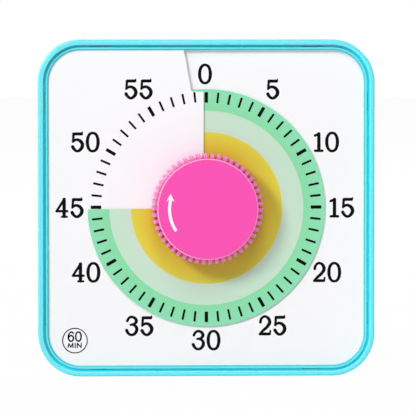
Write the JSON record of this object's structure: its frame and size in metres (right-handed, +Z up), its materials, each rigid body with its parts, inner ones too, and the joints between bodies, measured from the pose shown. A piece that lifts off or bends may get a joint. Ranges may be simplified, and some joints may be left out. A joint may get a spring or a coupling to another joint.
{
  "type": "visual countdown timer",
  "caption": "Square dial timer: a knob winds a coloured disc out of a slit in the white face, and a quartz movement winds it back. Folding stand and magnets behind.",
  "frame": {"origin": "middle of the flat bottom edge that the timer stands on, in plan the centre of its bounding box", "axes": "+Z up, -Y out of the dial towards the viewer, +X to the viewer's right"},
  "size_m": [0.1906, 0.0426, 0.1905],
  "materials": {
    "cyan_gloss": "glossy injection-moulded cyan",
    "face_white": "satin white printed sheet",
    "disc_print": "satin sheet printed in green, mint and yellow rings",
    "knob_pink": "satin moulded pink",
    "white_plastic": "natural white moulding",
    "cover_white": "fine-textured white moulding",
    "black_plastic": "black moulding",
    "gear_plastic": "natural acetal",
    "steel": "plated steel",
    "brass": "turned or stamped brass",
    "ferrite": "pressed magnet, lacquered",
    "magnet_nickel": "bright nickel plating",
    "spring_nickel": "nickel-plated spring steel",
    "copper": "enamelled copper winding",
    "board_green": "glass-epoxy board with green mask",
    "cell_sleeve": "printed film sleeve, plain",
    "lead_red": "insulated wire"
  },
  "bodies": {
    "case": {"front_housing": "cyan_gloss", "bezel_ring": "cyan_gloss", "face_sheet": "face_white", "front_bush": "brass", "alarm_contacts": "brass", "stator": "steel", "coil_bobbin": "white_plastic", "coil_winding": "copper", "movement_base": "black_plastic", "movement_cover": "black_plastic", "movement_screws": "steel", "circuit_board": "board_green", "control_chip": "black_plastic", "quartz_crystal": "steel", "capacitor": "black_plastic", "piezo_buzzer": "black_plastic", "slide_switch": "steel", "rear_cover": "cover_white", "cover_screws": "steel", "magnets": "magnet_nickel", "battery_cell": "cell_sleeve", "battery_contact": "spring_nickel", "battery_spring": "spring_nickel", "battery_leads": "lead_red", "motor_leads": "lead_red"},
    "dial_knob": {"knob": "knob_pink", "disc_hub": "white_plastic", "centre_shaft": "steel", "clutch_spring": "steel", "alarm_cam": "white_plastic"},
    "disc": {"time_disc": "disc_print"},
    "centre": {"centre_wheel": "brass"},
    "third": {"third_wheel": "gear_plastic"},
    "fourth": {"fourth_wheel": "gear_plastic"},
    "fifth": {"fifth_wheel": "gear_plastic"},
    "stepper": {"rotor": "gear_plastic", "rotor_magnet": "ferrite"},
    "slider": {"volume_slider": "black_plastic"},
    "door": {"battery_door": "cover_white"},
    "stand": {"stand_bracket": "cover_white"}
  },
  "joints": [
    {"name": "dial_turn", "type": "hinge", "parent": "case", "child": "dial_knob", "pos_m": [0, 0.02125, 0.09525], "axis": [0, 1, 0], "range_deg": [-270, 90]},
    {"name": "disc_climb", "type": "slide", "parent": "dial_knob", "child": "disc", "axis": [0, -1, 0], "range_m": [-0.0015, 0.0005]},
    {"name": "rotor_spin", "type": "hinge", "parent": "case", "child": "stepper", "pos_m": [-0.00036, 0.01125, 0.11089], "axis": [0, 1, 0], "continuous": true},
    {"name": "fifth_spin", "type": "hinge", "parent": "case", "child": "fifth", "pos_m": [-0.01314, 0.01125, 0.10624], "axis": [0, 1, 0], "continuous": true},
    {"name": "fourth_spin", "type": "hinge", "parent": "case", "child": "fourth", "pos_m": [-0.0155, 0.01125, 0.09284], "axis": [0, 1, 0], "continuous": true},
    {"name": "third_spin", "type": "hinge", "parent": "case", "child": "third", "pos_m": [-0.0079, 0.01125, 0.08157], "axis": [0, 1, 0], "continuous": true},
    {"name": "centre_spin", "type": "hinge", "parent": "case", "child": "centre", "pos_m": [0, 0.01125, 0.09525], "axis": [0, 1, 0], "continuous": true},
    {"name": "volume_slide", "type": "slide", "parent": "case", "child": "slider", "axis": [1, 0, 0], "range_m": [-0.003, 0.003]},
    {"name": "door_hinge", "type": "hinge", "parent": "case", "child": "door", "pos_m": [0, 0.01995, 0.04345], "axis": [1, 0, 0], "range_deg": [0, 95]},
    {"name": "stand_hinge", "type": "hinge", "parent": "case", "child": "stand", "pos_m": [0, 0.01945, 0.09125], "axis": [1, 0, 0], "range_deg": [0, 60]}
  ],
  "couplings": [
    {"joint": "disc_climb", "follows": "dial_turn", "m_per_rad": 0.00031831},
    {"joint": "fifth_spin", "follows": "rotor_spin", "ratio": -0.13333},
    {"joint": "fourth_spin", "follows": "rotor_spin", "ratio": 0.017778},
    {"joint": "third_spin", "follows": "rotor_spin", "ratio": -0.0023704},
    {"joint": "centre_spin", "follows": "rotor_spin", "ratio": 0.00055556}
  ]
}
